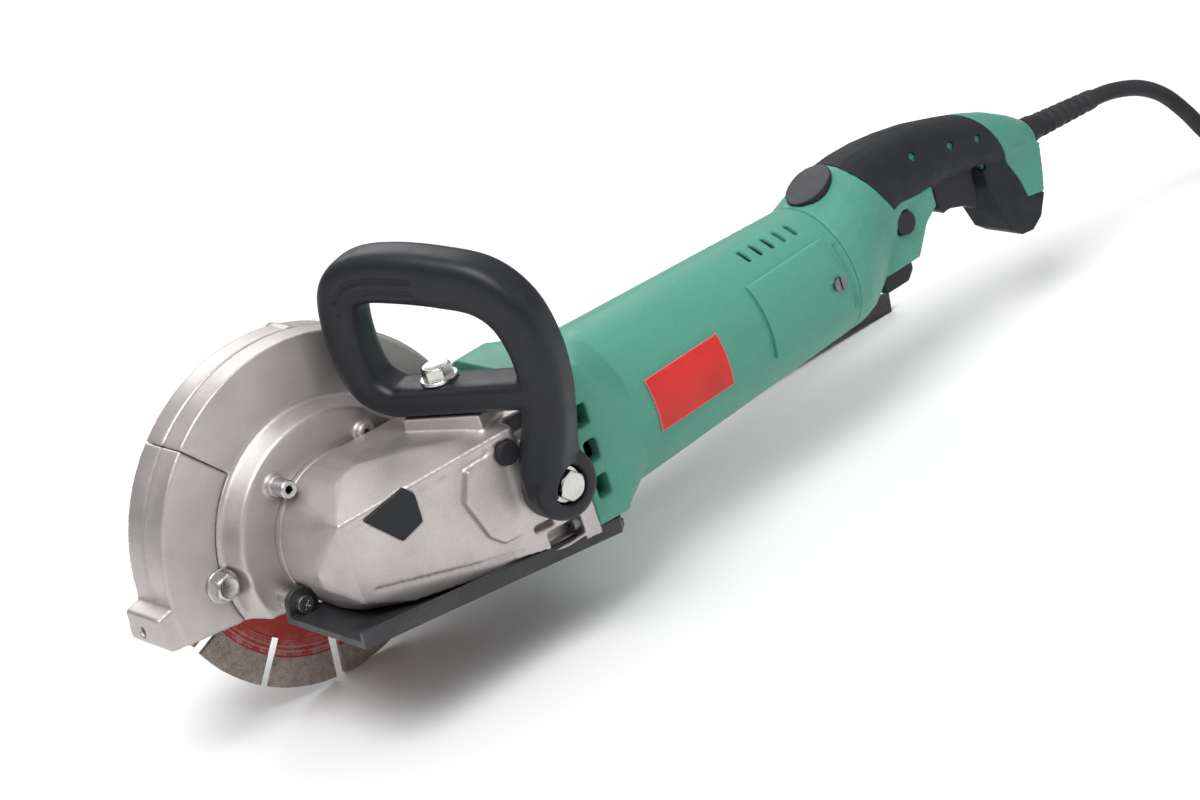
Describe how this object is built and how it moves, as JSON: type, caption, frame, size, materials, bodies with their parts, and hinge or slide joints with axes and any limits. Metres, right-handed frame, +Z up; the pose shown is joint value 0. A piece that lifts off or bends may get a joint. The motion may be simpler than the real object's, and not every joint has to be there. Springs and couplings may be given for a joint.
{
  "type": "wall chaser",
  "caption": "Corded wall chaser with a guarded diamond blade, bevel gear head, D-shaped front handle, sloping base plate and in-line motor with rear trigger handle.",
  "frame": {"origin": "bottom centre of the tool's box without its cord, on the surface that the blade rim and the end of the rail stand on", "axes": "+Z up, +X along the motor towards the rear handle and the cord, -Y towards the gear head and away from the guard's cover"},
  "size_m": [0.7174, 0.232, 0.1895],
  "materials": {
    "cast": "bead-blasted cast",
    "screw": "black oxide",
    "zinc": "zinc plated",
    "steel": "ground",
    "dark_steel": "hardened, oiled",
    "black_plastic": "fine texture",
    "handle_black": "moulded, satin",
    "rubber": "satin",
    "bronze": "turned",
    "blade_red": "worn paint",
    "segment": "sintered",
    "green_plastic": "fine texture",
    "label": "printed foil",
    "iron": "laminated",
    "copper": "wound",
    "carbon": "pressed carbon",
    "soft_grip": "soft overmould",
    "black_paint": "powder coated",
    "brass": "bright"
  },
  "bodies": {
    "chassis": {"guard_main": "cast", "guard_front": "cast", "guard_cover": "cast", "guard_screws": "screw", "guard_bolt": "zinc", "guard_washer": "zinc", "drum_tube": "steel", "gear_case": "cast", "gear_inset": "black_plastic", "grease_plug": "rubber", "case_screws": "screw", "bearing_box": "cast", "spindle_bearing": "steel", "spindle_bush": "bronze", "oil_seal": "rubber", "motor_housing": "green_plastic", "label_plate": "label", "fan_baffle": "black_plastic", "field_core": "iron", "field_coils": "copper", "front_bearing": "steel", "rear_bearing": "steel", "brush_holders": "bronze", "brushes": "carbon", "brush_springs": "steel", "brush_covers": "green_plastic", "brush_cover_screws": "screw", "shell_near": "green_plastic", "shell_far": "green_plastic", "shell_screws": "screw", "grip": "soft_grip", "top_pad": "black_plastic", "under_block": "black_plastic", "trigger_spring": "steel", "switch_body": "black_plastic", "lock_button_spring": "steel", "d_handle": "handle_black", "d_handle_bolts": "zinc", "base_plate": "black_paint", "base_screws": "zinc", "cord_guard": "rubber", "cord": "rubber", "cord_coil": "rubber", "plug": "rubber", "plug_pins": "brass"},
    "blade_set": {"spindle": "steel", "crown_gear": "dark_steel", "inner_flange": "dark_steel", "outer_flange": "dark_steel", "flange_nut": "zinc", "blade_core": "blade_red", "blade_segments": "segment"},
    "armature": {"armature_shaft": "steel", "pinion": "dark_steel", "armature_core": "iron", "armature_windings": "copper", "commutator": "copper", "fan": "black_plastic"},
    "trigger": {"trigger": "black_plastic"},
    "lock_button": {"lock_button": "black_plastic"}
  },
  "joints": [
    {"name": "blade_spin", "type": "hinge", "parent": "chassis", "child": "blade_set", "pos_m": [-0.17503, 0.0467, 0.07545], "axis": [0, 1, 0], "continuous": true},
    {"name": "armature_spin", "type": "hinge", "parent": "chassis", "child": "armature", "pos_m": [-0.02503, -0.0133, 0.07545], "axis": [1, 0, 0], "continuous": true},
    {"name": "trigger_pull", "type": "hinge", "parent": "chassis", "child": "trigger", "pos_m": [0.17497, -0.0133, 0.08445], "axis": [0, 1, 0], "range_deg": [0, 8], "stiffness_Nm_per_rad": 1.2, "springref_deg": -4.58, "deforming": ["trigger_spring"]},
    {"name": "lock_press", "type": "slide", "parent": "chassis", "child": "lock_button", "axis": [0, 1, 0], "range_m": [0, 0.0025], "stiffness_N_per_m": 600, "springref_m": -0.002, "deforming": ["lock_button_spring"]}
  ],
  "couplings": [
    {"joint": "armature_spin", "follows": "blade_spin", "ratio": -4.1111}
  ]
}
